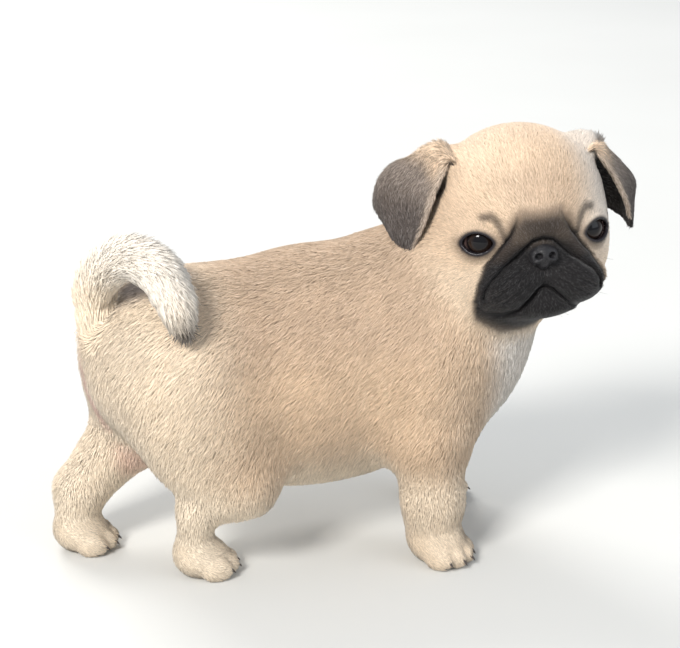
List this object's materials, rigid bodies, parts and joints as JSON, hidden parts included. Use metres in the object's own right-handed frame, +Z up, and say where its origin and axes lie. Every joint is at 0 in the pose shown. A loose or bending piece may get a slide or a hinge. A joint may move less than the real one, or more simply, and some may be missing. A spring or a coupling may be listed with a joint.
{
  "type": "pug puppy model",
  "caption": "Life-size still model of a young fawn pug standing square, its head turned to its right and its tail curled over its hip.",
  "frame": {"origin": "on the floor under the middle of the whole puppy's box", "axes": "+X from the rump to the chest, +Y to the puppy's left, +Z up"},
  "size_m": [0.2818, 0.1288, 0.2058],
  "materials": {
    "fawn_coat": "short soft fawn fur, near-black on the muzzle and brows, paler on the legs, chest and belly",
    "tail_coat": "fluffy cream fur with dark hairs at the tip",
    "ear_coat": "velvety charcoal fur with fawn hairs towards the base",
    "eye": "wet, very dark brown iris",
    "nose_leather": "moist pebbled black nose"
  },
  "bodies": {
    "root": {"head": "fawn_coat", "neck": "fawn_coat", "chest": "fawn_coat", "belly": "fawn_coat", "rump": "fawn_coat", "foreleg_right": "fawn_coat", "foreleg_left": "fawn_coat", "hind_leg_right": "fawn_coat", "hind_leg_left": "fawn_coat", "forepaw_right": "fawn_coat", "forepaw_left": "fawn_coat", "hind_paw_right": "fawn_coat", "hind_paw_left": "fawn_coat", "tail_base": "tail_coat", "tail_curl": "tail_coat", "tail_tip": "tail_coat", "ear_left": "ear_coat", "ear_right": "ear_coat", "eye_left": "eye", "eye_right": "eye", "nose": "nose_leather"}
  },
  "joints": []
}
